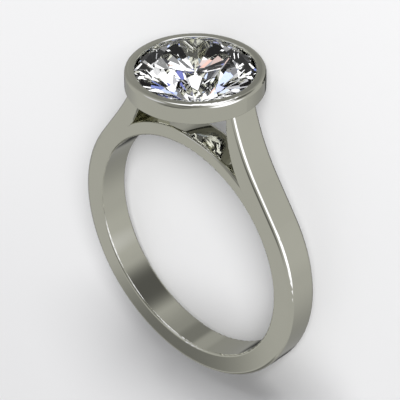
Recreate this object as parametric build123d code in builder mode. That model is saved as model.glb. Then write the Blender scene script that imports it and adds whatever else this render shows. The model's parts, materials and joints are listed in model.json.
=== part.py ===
from build123d import *
import os
from math import asin, atan2, cos, hypot, radians, sin, sqrt, tan

# Bezel set engagement ring, lying on its side as it rests by itself.
# Millimetres. Z is up from the surface that it lies on, X runs across the band, and +Y
# points from the finger hole towards the stone. The origin is under the middle of the whole.

# Band round the finger
finger_diameter = 17.0
band_width = 2.35
band_wall = 1.65
band_outer_round = 0.30
band_inner_round = 0.15

# Bridge that closes the finger hole under the stone
bridge_wall = 1.00
bridge_round = 0.30

# Shoulders that rise from the band to the bezel, and the open window between them
shoulder_foot_angle = 55.5
shoulder_run = 3.15
shoulder_inset = 0.18
shoulder_top_wall = 0.56
window_side_height = 0.74
window_flare = 2.28
window_round = 0.10

# Centre stone: a round brilliant, with angles in degrees and shares as a cutter gives them
stone_diameter = 8.30
stone_girdle = 0.14
table_share = 0.543
crown_angle = 31.5
star_share = 0.41
pavilion_angle = 41.4
lower_half_share = 0.855
culet_diameter = 0.14
culet_clearance = 0.62
main_facets = 8

# Bezel: a plain round collar with a seat for the stone
stone_clearance = 0.03
bezel_wall = 0.53
bezel_rim_round = 0.28
bezel_foot_round = 0.06
lip_cover = 0.15
lip_height = 0.135
lip_round = 0.12
seat_ledge = 0.65
seat_bore_height = 0.305

# Radii of the band
finger_radius = finger_diameter / 2
band_radius = finger_radius + band_wall
bridge_radius = finger_radius + bridge_wall
half_width = band_width / 2

# Stone sizes, from its girdle's upper edge
stone_radius = stone_diameter / 2
table_radius = stone_radius * table_share
crown_slope = tan(radians(crown_angle))
pavilion_slope = tan(radians(pavilion_angle))
table_height = (stone_radius - table_radius) * crown_slope
culet_depth = stone_girdle + (stone_radius - culet_diameter / 2) * pavilion_slope

# Radii of the bezel
bezel_radius = stone_radius + bezel_wall
seat_radius = stone_radius + stone_clearance
lip_radius = stone_radius - lip_cover
seat_bore_radius = stone_radius - seat_ledge

# Heights along the bezel's axis, from the finger hole's centre up through the stone
girdle_top = bridge_radius + culet_clearance + culet_depth
seat_top = girdle_top + stone_clearance / cos(radians(crown_angle))
lip_foot = seat_top + (seat_radius - lip_radius) * crown_slope
bezel_top = lip_foot + lip_height
seat_bottom = girdle_top - stone_girdle - stone_clearance / cos(radians(pavilion_angle))
seat_foot = seat_bottom - (seat_radius - seat_bore_radius) * pavilion_slope
bezel_foot = seat_foot - seat_bore_height

# The ring touches the surface with the band's lower edge, opposite the stone, and with the
# bezel's foot. Both edges are rounded, so the surface is the common tangent of two arcs.
# Places here are (along the bezel's axis, along the finger hole's axis).
band_edge = (band_outer_round - band_radius, half_width - band_outer_round)
foot_edge = (bezel_foot + bezel_foot_round, bezel_radius - bezel_foot_round)
edge_run = foot_edge[0] - band_edge[0]
edge_rise = foot_edge[1] - band_edge[1]
round_share = (band_outer_round - bezel_foot_round) / hypot(edge_run, edge_rise)
lean = atan2(edge_rise, edge_run) - asin(round_share)
hole_height = band_outer_round + band_edge[1] * cos(lean) - band_edge[0] * sin(lean)

# The leaning ring's reach along Y, which sets its middle over the origin
band_reach = band_edge[0] * cos(lean) - band_edge[1] * sin(lean) - band_outer_round
rim_edge = (bezel_top - bezel_rim_round, bezel_radius - bezel_rim_round)
rim_reach = rim_edge[0] * cos(lean) + rim_edge[1] * sin(lean) + bezel_rim_round
table_reach = (girdle_top + table_height) * cos(lean) + table_radius * sin(lean)
hole_offset = -(band_reach + max(rim_reach, table_reach)) / 2

# Ring plane: x across the band, y towards the stone, normal along the finger hole's axis
ring_plane = Plane(
    origin=(0, hole_offset, hole_height),
    x_dir=(1, 0, 0),
    z_dir=(0, -sin(lean), cos(lean)),
)
bezel_axis = Axis(ring_plane.origin, ring_plane.y_dir)

# Stone plane: at the girdle's upper edge, normal towards the table
stone_plane = Plane(
    origin=ring_plane.from_local_coords((0, girdle_top, 0)),
    x_dir=(1, 0, 0),
    z_dir=ring_plane.y_dir,
)

# Outer line of a shoulder: a straight run that leaves the band at a tangent, then a hollow
# arc up to the bezel. The shoulders end inside the bezel's wall, level with the seat's foot.
foot_angle = radians(shoulder_foot_angle)
run_foot = (band_radius * sin(foot_angle), band_radius * cos(foot_angle))
run_head = (
    run_foot[0] - shoulder_run * cos(foot_angle),
    run_foot[1] + shoulder_run * sin(foot_angle),
)
shoulder_top = bezel_radius - shoulder_inset

# Inner line of a shoulder: a straight side under the bezel, then an arc that flares out into
# the hoop. The hoop and the shoulders share the metal from the joint's radius outwards.
window_side = shoulder_top - shoulder_top_wall
window_turn = bezel_foot - window_side_height
hoop_joint = bridge_radius - bridge_round - window_round
flare_end_x = window_side + window_flare
flare_end_y = sqrt((hoop_joint - window_round) ** 2 - flare_end_x**2)

os.makedirs("parts", exist_ok=True)


def is_round(edge, radius):
    """True for a circular edge of this radius"""
    return edge.geom_type == GeomType.CIRCLE and abs(edge.radius - radius) < 1e-4


def along_shoulder(edge):
    """True for an edge in one of the two flat sides that isn't part of the hoop's joint"""
    in_flat_side = abs(ring_plane.to_local_coords(edge @ 0.5).Z) > half_width - 1e-4
    return in_flat_side and not is_round(edge, hoop_joint)


with BuildPart() as shoulders:
    # Band and shoulders in one outline round the hoop, with their outer edges rounded
    with BuildSketch(ring_plane):
        with BuildLine():
            for side in (1, -1):
                run = Line((side * run_foot[0], run_foot[1]), (side * run_head[0], run_head[1]))
                hollow = TangentArc(run @ 1, (side * shoulder_top, bezel_foot), tangent=run % 1)
                rise = PolarLine(hollow @ 1, seat_bore_height, direction=hollow % 1)
            Line(rise @ 1, (-(rise @ 1).X, (rise @ 1).Y))
            ThreePointArc(run_foot, (0, -band_radius), (-run_foot[0], run_foot[1]))
        make_face()
        Circle(hoop_joint, mode=Mode.SUBTRACT)
    extrude(amount=half_width, both=True)
    outline_edges = edges().filter_by(along_shoulder).filter_by(Axis.X, reverse=True)
    fillet(outline_edges, radius=band_outer_round)

    # Window between the shoulders, with its side edges rounded
    with BuildSketch(ring_plane):
        with BuildLine():
            for side in (1, -1):
                wall = Line((side * window_side, seat_foot), (side * window_side, window_turn))
                TangentArc(wall @ 1, (side * flare_end_x, flare_end_y), tangent=wall % 1)
            Line((window_side, seat_foot), (-window_side, seat_foot))
            Line((flare_end_x, flare_end_y), (-flare_end_x, flare_end_y))
        make_face()
    extrude(amount=band_width, both=True, mode=Mode.SUBTRACT)
    window_edges = edges(Select.LAST).filter_by(along_shoulder).filter_by(Axis.X, reverse=True)
    fillet(window_edges, radius=window_round)

with BuildPart() as ring_mount:
    # Hoop round the finger, which is also the bridge under the stone
    with BuildSketch(ring_plane):
        Circle(bridge_radius)
        Circle(finger_radius, mode=Mode.SUBTRACT)
    extrude(amount=half_width, both=True)
    fillet(edges().filter_by(lambda edge: is_round(edge, bridge_radius)), radius=bridge_round)
    fillet(edges().filter_by(lambda edge: is_round(edge, finger_radius)), radius=band_inner_round)
    add(shoulders.part)

    # Bezel's collar, solid at first so that it closes over the shoulders' tops
    with BuildSketch(ring_plane) as collar:
        with BuildLine():
            Polyline(
                (0, bezel_foot),
                (bezel_radius, bezel_foot),
                (bezel_radius, bezel_top),
                (0, bezel_top),
                close=True,
            )
        make_face()
        fillet(collar.vertices().group_by(Axis.X)[-1].sort_by(Axis.Y)[0], radius=bezel_foot_round)
        fillet(collar.vertices().group_by(Axis.X)[-1].sort_by(Axis.Y)[-1], radius=bezel_rim_round)
    revolve(axis=bezel_axis)

    # Space for the stone: the bore below it, its seat, and the lip that laps over its edge
    with BuildSketch(ring_plane):
        with BuildLine():
            Polyline(
                (lip_radius + lip_round, bezel_top),
                (0, bezel_top),
                (0, bezel_foot),
                (seat_bore_radius, bezel_foot),
                (seat_bore_radius, seat_foot),
                (seat_radius, seat_bottom),
                (seat_radius, seat_top),
                (lip_radius, lip_foot),
                (lip_radius, bezel_top - lip_round),
            )
            TangentArc(
                (lip_radius, bezel_top - lip_round),
                (lip_radius + lip_round, bezel_top),
                tangent=(0, 1),
            )
        make_face()
    revolve(axis=bezel_axis, mode=Mode.SUBTRACT)

ring_mount.part.label = "ring_mount"
export_step(ring_mount.part, "parts/ring_mount.step")

# Turns and tips of the stone's facets. The tips lie on the ridges between the main facets.
main_turn = 360 / main_facets
half_turn = main_turn / 2
ridge_share = cos(radians(half_turn))
table_flat = table_radius * ridge_share
star_tip = table_flat + (stone_radius - table_flat) * star_share
star_height = (stone_radius - star_tip * ridge_share) * crown_slope
half_tip = stone_radius * (1 - lower_half_share)
half_depth = stone_girdle + (stone_radius - half_tip * ridge_share) * pavilion_slope


def on_stone(radius, turn, height):
    """Point of the stone at a radius, a turn in degrees and a height over the girdle's edge"""
    angle = radians(turn)
    return stone_plane.from_local_coords((radius * cos(angle), radius * sin(angle), height))


def facet(first, second, third):
    """Plane of a facet through three points, facing out of the stone"""
    normal = (second - first).cross(third - first)
    if normal.dot(first - stone_plane.origin) < 0:
        normal = -normal
    return Plane(origin=first, z_dir=normal)


with BuildPart() as centre_stone:
    # Round blank from the culet to the table
    with BuildSketch(stone_plane.offset(-culet_depth)):
        Circle(stone_radius)
    extrude(amount=culet_depth + table_height)

    for index in range(main_facets):
        middle = index * main_turn
        sides = (middle - half_turn, middle + half_turn)
        star_tips = [on_stone(star_tip, side, star_height) for side in sides]
        half_tips = [on_stone(half_tip, side, -half_depth) for side in sides]
        crown_foot = on_stone(stone_radius, middle, 0)
        pavilion_head = on_stone(stone_radius, middle, -stone_girdle)

        # Main facets of the crown and the pavilion
        split(bisect_by=facet(*star_tips, crown_foot), keep=Keep.BOTTOM)
        split(bisect_by=facet(*half_tips, pavilion_head), keep=Keep.BOTTOM)

        # Star facet between this main facet and the next, beside the table
        corner = on_stone(table_radius, middle, table_height)
        next_corner = on_stone(table_radius, middle + main_turn, table_height)
        split(bisect_by=facet(corner, next_corner, star_tips[1]), keep=Keep.BOTTOM)

        # Half facets along the girdle, one on each side of the main facets
        for side, star, half in zip(sides, star_tips, half_tips):
            crown_side = on_stone(stone_radius, side, 0)
            pavilion_side = on_stone(stone_radius, side, -stone_girdle)
            split(bisect_by=facet(star, crown_side, crown_foot), keep=Keep.BOTTOM)
            split(bisect_by=facet(half, pavilion_side, pavilion_head), keep=Keep.BOTTOM)

centre_stone.part.label = "centre_stone"
export_step(centre_stone.part, "parts/centre_stone.step")
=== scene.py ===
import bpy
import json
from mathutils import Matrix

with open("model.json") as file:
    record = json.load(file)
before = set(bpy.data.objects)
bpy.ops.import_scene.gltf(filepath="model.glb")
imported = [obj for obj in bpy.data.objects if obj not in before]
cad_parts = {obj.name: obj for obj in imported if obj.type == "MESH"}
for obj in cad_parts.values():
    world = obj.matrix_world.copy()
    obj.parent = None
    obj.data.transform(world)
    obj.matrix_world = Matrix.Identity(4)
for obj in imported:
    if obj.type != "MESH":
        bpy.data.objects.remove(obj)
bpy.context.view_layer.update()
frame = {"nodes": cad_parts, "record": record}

import json
import math

import bpy
from mathutils import Matrix, Vector

MM = 0.001
RING = frame["nodes"]["ring_mount"]
STONE = frame["nodes"]["centre_stone"]
bpy.ops.object.select_all(action="DESELECT")

# The ring leans a little as it lies. ACROSS runs from one shoulder to the other, FACE is the
# way the band's upper flat side looks, UP runs from the finger hole to the stone, and HOLE is
# the finger hole's centre.
finger_hole = frame["record"]["mounts"][0]
HOLE = Vector(finger_hole["pos_m"])
ACROSS = Vector((1, 0, 0))
FACE = Vector(finger_hole["axis"]).normalized()
UP = FACE.cross(ACROSS).normalized()

# A noise lies mostly between these two values.
NOISE_LOW = 0.3
NOISE_HIGH = 0.7


# Node helpers
def new_material(name):
    material = bpy.data.materials.new(name)
    material.use_nodes = True
    material.node_tree.nodes.clear()
    return material


class Desk:
    """A node tree, with short calls that add a node and link it"""

    def __init__(self, tree):
        self.tree = tree

    def add(self, kind, **settings):
        node = self.tree.nodes.new(kind)
        for key, value in settings.items():
            setattr(node, key, value)
        return node

    def feed(self, socket, value):
        """Links the socket to another one, or sets it to a plain value"""
        if isinstance(value, bpy.types.NodeSocket):
            self.tree.links.new(value, socket)
        else:
            socket.default_value = value

    def place(self):
        """Where a point is on its piece"""
        return self.add("ShaderNodeTexCoord").outputs["Object"]

    def math(self, operation, first, second=0.0, third=None):
        node = self.add("ShaderNodeMath", operation=operation)
        self.feed(node.inputs[0], first)
        self.feed(node.inputs[1], second)
        if third is not None:
            self.feed(node.inputs[2], third)
        return node.outputs[0]

    def subtract(self, first, second):
        node = self.add("ShaderNodeVectorMath", operation="SUBTRACT")
        self.feed(node.inputs[0], first)
        self.feed(node.inputs[1], second)
        return node.outputs["Vector"]

    def dot(self, first, second):
        node = self.add("ShaderNodeVectorMath", operation="DOT_PRODUCT")
        self.feed(node.inputs[0], first)
        self.feed(node.inputs[1], second)
        return node.outputs["Value"]

    def smooth(self, value, low, high, out_low=0.0, out_high=1.0):
        node = self.add("ShaderNodeMapRange", interpolation_type="SMOOTHSTEP")
        self.feed(node.inputs["Value"], value)
        self.feed(node.inputs["From Min"], low)
        self.feed(node.inputs["From Max"], high)
        self.feed(node.inputs["To Min"], out_low)
        self.feed(node.inputs["To Max"], out_high)
        return node.outputs["Result"]

    def blend(self, share, first, second):
        node = self.add("ShaderNodeMix", data_type="RGBA")
        self.feed(node.inputs[0], share)
        self.feed(node.inputs[6], first)
        self.feed(node.inputs[7], second)
        return node.outputs[2]

    def noise(self, place, scale, detail):
        node = self.add("ShaderNodeTexNoise")
        self.feed(node.inputs["Scale"], scale)
        self.feed(node.inputs["Detail"], detail)
        self.feed(node.inputs["Vector"], place)
        return node.outputs["Fac"]

    def background(self, tone):
        node = self.add("ShaderNodeBackground")
        self.feed(node.inputs["Color"], tone)
        return node.outputs[0]

    def mix(self, share, first, second):
        node = self.add("ShaderNodeMixShader")
        self.feed(node.inputs[0], share)
        self.feed(node.inputs[1], first)
        self.feed(node.inputs[2], second)
        return node.outputs[0]

    def output(self, kind, shader):
        self.feed(self.add(kind).inputs["Surface"], shader)


# Polished white gold: a warm grey with faint clouds in it and a fine grain of the polish
GOLD_DARKER = (0.555, 0.553, 0.470, 1)
GOLD_LIGHTER = (0.590, 0.588, 0.500, 1)
GOLD_CLOUD_SCALE = 420.0
GOLD_CLOUD_DETAIL = 3.0
GOLD_GRAIN_SCALE = 9000.0
GOLD_GRAIN_DETAIL = 4.0
GOLD_ROUGHNESS_LOW = 0.03
GOLD_ROUGHNESS_HIGH = 0.055

# The inside of the collar, under the stone, is left matt: how far it reaches from the collar's
# axis, where it starts and ends above the finger hole's centre, how it fades, and how much
# rougher it is.
SEAT_REACH = 4.22 * MM
SEAT_FOOT = 12.7 * MM
SEAT_TOP = 13.7 * MM
SEAT_FADE = 0.02 * MM
SEAT_ROUGHNESS = 0.45


def collar_inside(desk, place):
    """1 on the inside of the collar under the stone, 0 elsewhere"""
    from_hole = desk.subtract(place, tuple(HOLE))
    height = desk.dot(from_hole, tuple(UP))
    depth = desk.dot(from_hole, tuple(FACE))
    across = desk.dot(from_hole, tuple(ACROSS))
    depth_squared = desk.math("MULTIPLY", depth, depth)
    reach = desk.math("SQRT", desk.math("MULTIPLY_ADD", across, across, depth_squared))
    inside = desk.smooth(reach, SEAT_REACH, SEAT_REACH + SEAT_FADE, 1.0, 0.0)
    above_foot = desk.smooth(height, SEAT_FOOT - SEAT_FADE, SEAT_FOOT)
    below_top = desk.smooth(height, SEAT_TOP, SEAT_TOP + SEAT_FADE, 1.0, 0.0)
    return desk.math("MULTIPLY", desk.math("MULTIPLY", inside, above_foot), below_top)


def polished_white_gold():
    material = new_material("white_gold_polished")
    desk = Desk(material.node_tree)
    place = desk.place()
    shader = desk.add("ShaderNodeBsdfPrincipled")
    shader.inputs["Metallic"].default_value = 1.0
    cloud = desk.noise(place, GOLD_CLOUD_SCALE, GOLD_CLOUD_DETAIL)
    desk.feed(shader.inputs["Base Color"], desk.blend(cloud, GOLD_DARKER, GOLD_LIGHTER))
    grain = desk.noise(place, GOLD_GRAIN_SCALE, GOLD_GRAIN_DETAIL)
    polish = desk.smooth(grain, NOISE_LOW, NOISE_HIGH, GOLD_ROUGHNESS_LOW, GOLD_ROUGHNESS_HIGH)
    rough = desk.math("MULTIPLY_ADD", collar_inside(desk, place), SEAT_ROUGHNESS, polish)
    desk.feed(shader.inputs["Roughness"], rough)
    desk.output("ShaderNodeOutputMaterial", shader.outputs[0])
    return material


# Clear diamond, almost without colour or grain. DIAMOND_SHEEN dims what its outer surface
# mirrors, so that the facets below show.
DIAMOND_COOL = (0.97, 0.98, 1.0, 1)
DIAMOND_WARM = (1.0, 1.0, 0.99, 1)
DIAMOND_CLOUD_SCALE = 500.0
DIAMOND_GRAIN_SCALE = 12000.0
DIAMOND_DETAIL = 2.0
DIAMOND_ROUGHNESS = 0.004
DIAMOND_IOR = 2.417
DIAMOND_SHEEN = (0.12, 0.12, 0.12, 1)


def clear_diamond():
    material = new_material("diamond_clear")
    desk = Desk(material.node_tree)
    place = desk.place()
    shader = desk.add("ShaderNodeBsdfPrincipled")
    cloud = desk.noise(place, DIAMOND_CLOUD_SCALE, DIAMOND_DETAIL)
    desk.feed(shader.inputs["Base Color"], desk.blend(cloud, DIAMOND_COOL, DIAMOND_WARM))
    grain = desk.noise(place, DIAMOND_GRAIN_SCALE, DIAMOND_DETAIL)
    polish = desk.smooth(grain, NOISE_LOW, NOISE_HIGH, 0.0, DIAMOND_ROUGHNESS)
    desk.feed(shader.inputs["Roughness"], polish)
    shader.inputs["IOR"].default_value = DIAMOND_IOR
    shader.inputs["Transmission Weight"].default_value = 1.0
    shader.inputs["Specular Tint"].default_value = DIAMOND_SHEEN
    desk.output("ShaderNodeOutputMaterial", shader.outputs[0])
    return material


RING.data.materials[0] = polished_white_gold()
STONE.data.materials[0] = clear_diamond()


# The studio
def keep_out_of_mirrors(thing):
    """The metal and the stone look at their own surrounds, and not at the studio's things"""
    thing.visible_glossy = False
    thing.visible_transmission = False


# The paper's colour is painted a little darker towards the bottom of the picture: painted shade
# standing in for the light falling off there.
PAPER_SIZE = 1.6
PAPER_WAY = (-0.43, 0.90, 0.0)
PAPER_REACH = 18 * MM
PAPER_NEAR = (0.675, 0.675, 0.68, 1)
PAPER_FAR = (0.755, 0.755, 0.76, 1)
PAPER_ROUGHNESS = 0.9


def studio_floor():
    bpy.ops.mesh.primitive_plane_add(size=PAPER_SIZE, location=(0, 0, 0))
    floor = bpy.context.object
    floor.name = "studio_floor"
    material = new_material("floor_paper")
    desk = Desk(material.node_tree)
    shader = desk.add("ShaderNodeBsdfPrincipled")
    # Painted shade: the paper's colour darkens along PAPER_WAY towards the bottom of the picture.
    tone = desk.smooth(desk.dot(desk.place(), PAPER_WAY), -PAPER_REACH, PAPER_REACH)
    desk.feed(shader.inputs["Base Color"], desk.blend(tone, PAPER_NEAR, PAPER_FAR))
    shader.inputs["Roughness"].default_value = PAPER_ROUGHNESS
    desk.output("ShaderNodeOutputMaterial", shader.outputs[0])
    floor.data.materials.append(material)
    keep_out_of_mirrors(floor)


# The surround that the polished metal mirrors, from the broad tones to the small bright ones.
# Each is a round soft patch: turn and height of its middle, how far from there it is full, how
# much further it fades, all in degrees, and its tone. METAL_PLAIN is the tone between them.
METAL_PLAIN = (0.60, 0.60, 0.60, 1)
METAL_SURROUND = (
    ("room_back", 150, -30, 30, 30, 0.40),
    ("floor_shade", -120, -40, 20, 48, 0.36),
    ("room_light_side", 8, -28, 8, 18, 0.66),
    ("dark_table", 64, -25, 1, 24, 0.14),
    ("dark_under_rim", 127, -27, 2, 10, 0.28),
    ("pale_strip", 144, -27, 2, 8, 0.48),
    ("dark_ceiling", 0, 78, 2, 30, 0.12),
    ("ceiling_corner", 75, 52, 10, 40, 0.35),
    ("dark_beam", 65, 38, 4, 12, 0.12),
    ("dark_doorway", -127, 24, 0, 4, 0.22),
    ("dark_far_wall", -101, 4, 5, 14, 0.20),
    ("dark_behind", -138, -44, 8, 14, 0.04),
    ("dark_below", -30, -88, 7, 10, 0.05),
    ("window_right", 10, -2, 13, 18, 2.3),
    ("window_middle", 57, 0, 8, 12, 2.2),
    ("window_front", 98, -2, 10, 11, 2.3),
    ("window_high", 125, 46, 6, 14, 1.0),
)

# Daylight from the windows is a little blue.
WINDOW_BLUE = 1.18

# The cards that the stone's larger facets look at, over a mosaic of small bright and dark panes.
# Each is a round card: turn and height of its middle, half its width in degrees, and its colour.
STONE_CARDS = (
    ("paper_below", -124, -42, 24, (1.60, 1.60, 1.60)),
    ("white_wall", 55, 8, 11, (1.55, 1.55, 1.55)),
    ("white_card", 54, -2, 3, (1.45, 1.45, 1.50)),
    ("blue_card", 65, 0, 5, (0.20, 0.23, 0.62)),
    ("dark_blue_card", 68, -9, 4, (0.10, 0.11, 0.24)),
    ("navy_card", 56, -14, 4, (0.07, 0.08, 0.20)),
    ("grey_low", 80, -4, 5, (0.22, 0.22, 0.22)),
    ("grey_low_side", 79, -13, 4, (0.26, 0.26, 0.27)),
    ("light_right", -2, -43, 5, (1.40, 1.40, 1.40)),
    ("blue_back", -88, 28, 4, (0.82, 0.90, 1.20)),
    ("grey_back", -172, 42, 3, (0.50, 0.50, 0.50)),
    ("grey_floor", 50, -33, 9, (0.22, 0.22, 0.22)),
    ("blue_low", 28, -9, 6, (0.24, 0.30, 0.70)),
    ("pale_low", 27, -23, 6, (0.70, 0.80, 1.05)),
    ("light_floor", 45, -19, 3, (1.20, 1.20, 1.20)),
    ("white_edge", 37, 13, 4, (1.50, 1.50, 1.50)),
    ("light_card", 44, 27, 7, (0.80, 0.80, 0.80)),
    ("white_slat", 51, 22, 3, (1.50, 1.50, 1.50)),
    ("black_pane", 59, 23, 5, (0.01, 0.01, 0.01)),
    ("dark_pane", 52, 37, 4, (0.06, 0.06, 0.07)),
    ("grey_pane_high", 54, 48, 5, (0.28, 0.28, 0.30)),
    ("dark_pane_high", 57, 69, 8, (0.08, 0.08, 0.08)),
    ("grey_pane", 68, 37, 4, (0.30, 0.30, 0.30)),
    ("grey_pane_left", 61, 44, 3, (0.35, 0.35, 0.36)),
    ("grey_pane_right", 73, 27, 3, (0.42, 0.42, 0.44)),
    ("white_bar", 86, 39, 3, (1.50, 1.50, 1.50)),
    ("white_panel", 72, 12, 4, (1.50, 1.50, 1.50)),
    ("dark_slat", 76, 40, 3, (0.03, 0.03, 0.03)),
    ("pale_blue_sky", 83, 48, 7, (0.85, 0.98, 1.42)),
    ("pale_blue_side", 97, 43, 4, (0.80, 0.86, 1.25)),
    ("pink_high", 79, 35, 3, (0.95, 0.78, 0.74)),
    ("dark_screen", 92, 34, 4, (0.06, 0.06, 0.06)),
    ("grey_screen", 86, 32, 3, (0.33, 0.33, 0.33)),
    ("pink_card", 102, 18, 5, (1.08, 0.70, 0.60)),
    ("pink_edge", 79, 13, 4, (0.80, 0.62, 0.57)),
    ("grey_card", 84, 20, 4, (0.33, 0.33, 0.33)),
    ("white_ceiling", 138, 45, 17, (1.35, 1.35, 1.35)),
    ("pale_ceiling", 152, 60, 6, (0.85, 0.95, 1.15)),
    ("dark_left", 110, 22, 4, (0.20, 0.20, 0.20)),
)

# The degrees over which a card's edge fades
CARD_EDGE = 0.6

# The panes of the mosaic: where each tone starts on a scale of 0 to 1, and the tone.
PANE_TONES = (
    (0.00, (1.55, 1.55, 1.55, 1)),
    (0.42, (0.60, 0.60, 0.62, 1)),
    (0.54, (0.16, 0.16, 0.16, 1)),
    (0.62, (0.01, 0.01, 0.01, 1)),
    (0.94, (0.35, 0.42, 0.90, 1)),
)
PANE_SCALE = 2.2
PANE_EDGE = 0.01

# The even light that falls on the paper, and that the camera sees past it
ROOM_LIGHT = (0.46, 0.46, 0.464, 1)


def compass(turn, height):
    """Direction by its turn round the upright axis from +X and its height, in degrees"""
    turn, height = math.radians(turn), math.radians(height)
    flat = math.cos(height)
    return (flat * math.cos(turn), flat * math.sin(turn), math.sin(height))


def patch(desk, way, turn, height, full, fade):
    """1 inside a round patch of a surround, 0 outside it"""
    near = desk.dot(way, compass(turn, height))
    return desk.smooth(near, math.cos(math.radians(full + fade)), math.cos(math.radians(full)))


def metal_surround(desk, way):
    colour = METAL_PLAIN
    for name, turn, height, full, fade, tone in METAL_SURROUND:
        blue = tone * WINDOW_BLUE if name.startswith("window") else tone
        colour = desk.blend(patch(desk, way, turn, height, full, fade), colour, (tone, tone, blue, 1))
    return colour


def stone_surround(desk, way):
    panes = desk.add("ShaderNodeTexVoronoi")
    desk.feed(panes.inputs["Scale"], PANE_SCALE)
    desk.feed(panes.inputs["Vector"], way)
    pick = desk.add("ShaderNodeSeparateColor")
    desk.feed(pick.inputs[0], panes.outputs["Color"])
    colour = PANE_TONES[0][1]
    for start, tone in PANE_TONES[1:]:
        colour = desk.blend(desk.smooth(pick.outputs[0], start, start + PANE_EDGE), colour, tone)
    for _, turn, height, full, tone in STONE_CARDS:
        colour = desk.blend(patch(desk, way, turn, height, full, CARD_EDGE), colour, (*tone, 1))
    return colour


def studio_surround():
    world = bpy.data.worlds.new("studio_surround")
    bpy.context.scene.world = world
    world.use_nodes = True
    world.node_tree.nodes.clear()
    desk = Desk(world.node_tree)
    way = desk.add("ShaderNodeTexCoord").outputs["Generated"]
    room = desk.background(ROOM_LIGHT)
    metal = desk.background(metal_surround(desk, way))
    stone = desk.background(stone_surround(desk, way))
    light_path = desk.add("ShaderNodeLightPath")
    outside = desk.mix(light_path.outputs["Is Glossy Ray"], room, metal)
    through_stone = desk.math("MINIMUM", light_path.outputs["Transmission Depth"], 1.0)
    desk.output("ShaderNodeOutputWorld", desk.mix(through_stone, outside, stone))


LAMP_PLACE = (0.70, 0.67, 0.75)
LAMP_SIZE = 0.52
LAMP_POWER = 19.8


def soft_lamp():
    data = bpy.data.lights.new("soft_key", "AREA")
    data.energy = LAMP_POWER
    data.size = LAMP_SIZE
    lamp = bpy.data.objects.new("soft_key", data)
    bpy.context.collection.objects.link(lamp)
    lamp.location = LAMP_PLACE
    lamp.rotation_euler = (-Vector(LAMP_PLACE)).to_track_quat("-Z", "Y").to_euler()
    keep_out_of_mirrors(lamp)


# Cards between the lamp and the paper. They shade the paper below the ring in the picture.
# Each is an ellipse: middle of its shade on the paper, half lengths, height, all in
# millimetres, and its turn in degrees.
SHADE_CARDS = (
    ("shade_card_wide", (-0.3, -14.9), (12.0, 3.6), 11.0, 9.0),
    ("shade_card_near", (2.2, -14.0), (6.5, 2.0), 3.5, 12.0),
)
SHADE_CARD_CORNERS = 48


def shade_card(name, middle, half, height, turn):
    bpy.ops.mesh.primitive_circle_add(vertices=SHADE_CARD_CORNERS, radius=MM, fill_type="NGON")
    card = bpy.context.object
    card.name = name
    card.scale = (*half, 1.0)
    card.rotation_euler = (0, 0, math.radians(turn))
    towards_lamp = Vector(LAMP_PLACE) * (height / LAMP_PLACE[2])
    card.location = (Vector((*middle, 0)) + towards_lamp) * MM
    card.visible_camera = False
    keep_out_of_mirrors(card)


# The camera of the photo, fitted to the ring's outlines: its place in millimetres from the
# finger hole's centre, and the ways to the picture's right and top.
CAMERA_PLACE = (69.402, 62.618, 79.568)
CAMERA_RIGHT = (0.70793, 0.10721, -0.69810)
CAMERA_TOP = (-0.41259, 0.86500, -0.28555)
CAMERA_SENSOR = 36.0
CAMERA_LENS = 157.2
CAMERA_NEAREST = 0.01
CAMERA_FARTHEST = 10.0


def photo_camera():
    data = bpy.data.cameras.new("photo_camera")
    camera = bpy.data.objects.new("photo_camera", data)
    bpy.context.collection.objects.link(camera)
    data.sensor_width = CAMERA_SENSOR
    data.lens = CAMERA_LENS
    data.clip_start = CAMERA_NEAREST
    data.clip_end = CAMERA_FARTHEST
    right = Vector(CAMERA_RIGHT).normalized()
    back = right.cross(Vector(CAMERA_TOP)).normalized()
    turn = Matrix((right, back.cross(right), back)).transposed()
    place = HOLE + Vector(CAMERA_PLACE) * MM
    camera.matrix_world = Matrix.Translation(place) @ turn.to_4x4()
    bpy.context.scene.camera = camera


studio_floor()
studio_surround()
soft_lamp()
for card in SHADE_CARDS:
    shade_card(*card)
photo_camera()

# Light turns back many times inside the stone before it comes out again.
STONE_TURNS = 24
METAL_TURNS = 6

scene = bpy.context.scene
scene.view_settings.view_transform = "Standard"
scene.cycles.max_bounces = STONE_TURNS
scene.cycles.glossy_bounces = METAL_TURNS
scene.cycles.transmission_bounces = STONE_TURNS
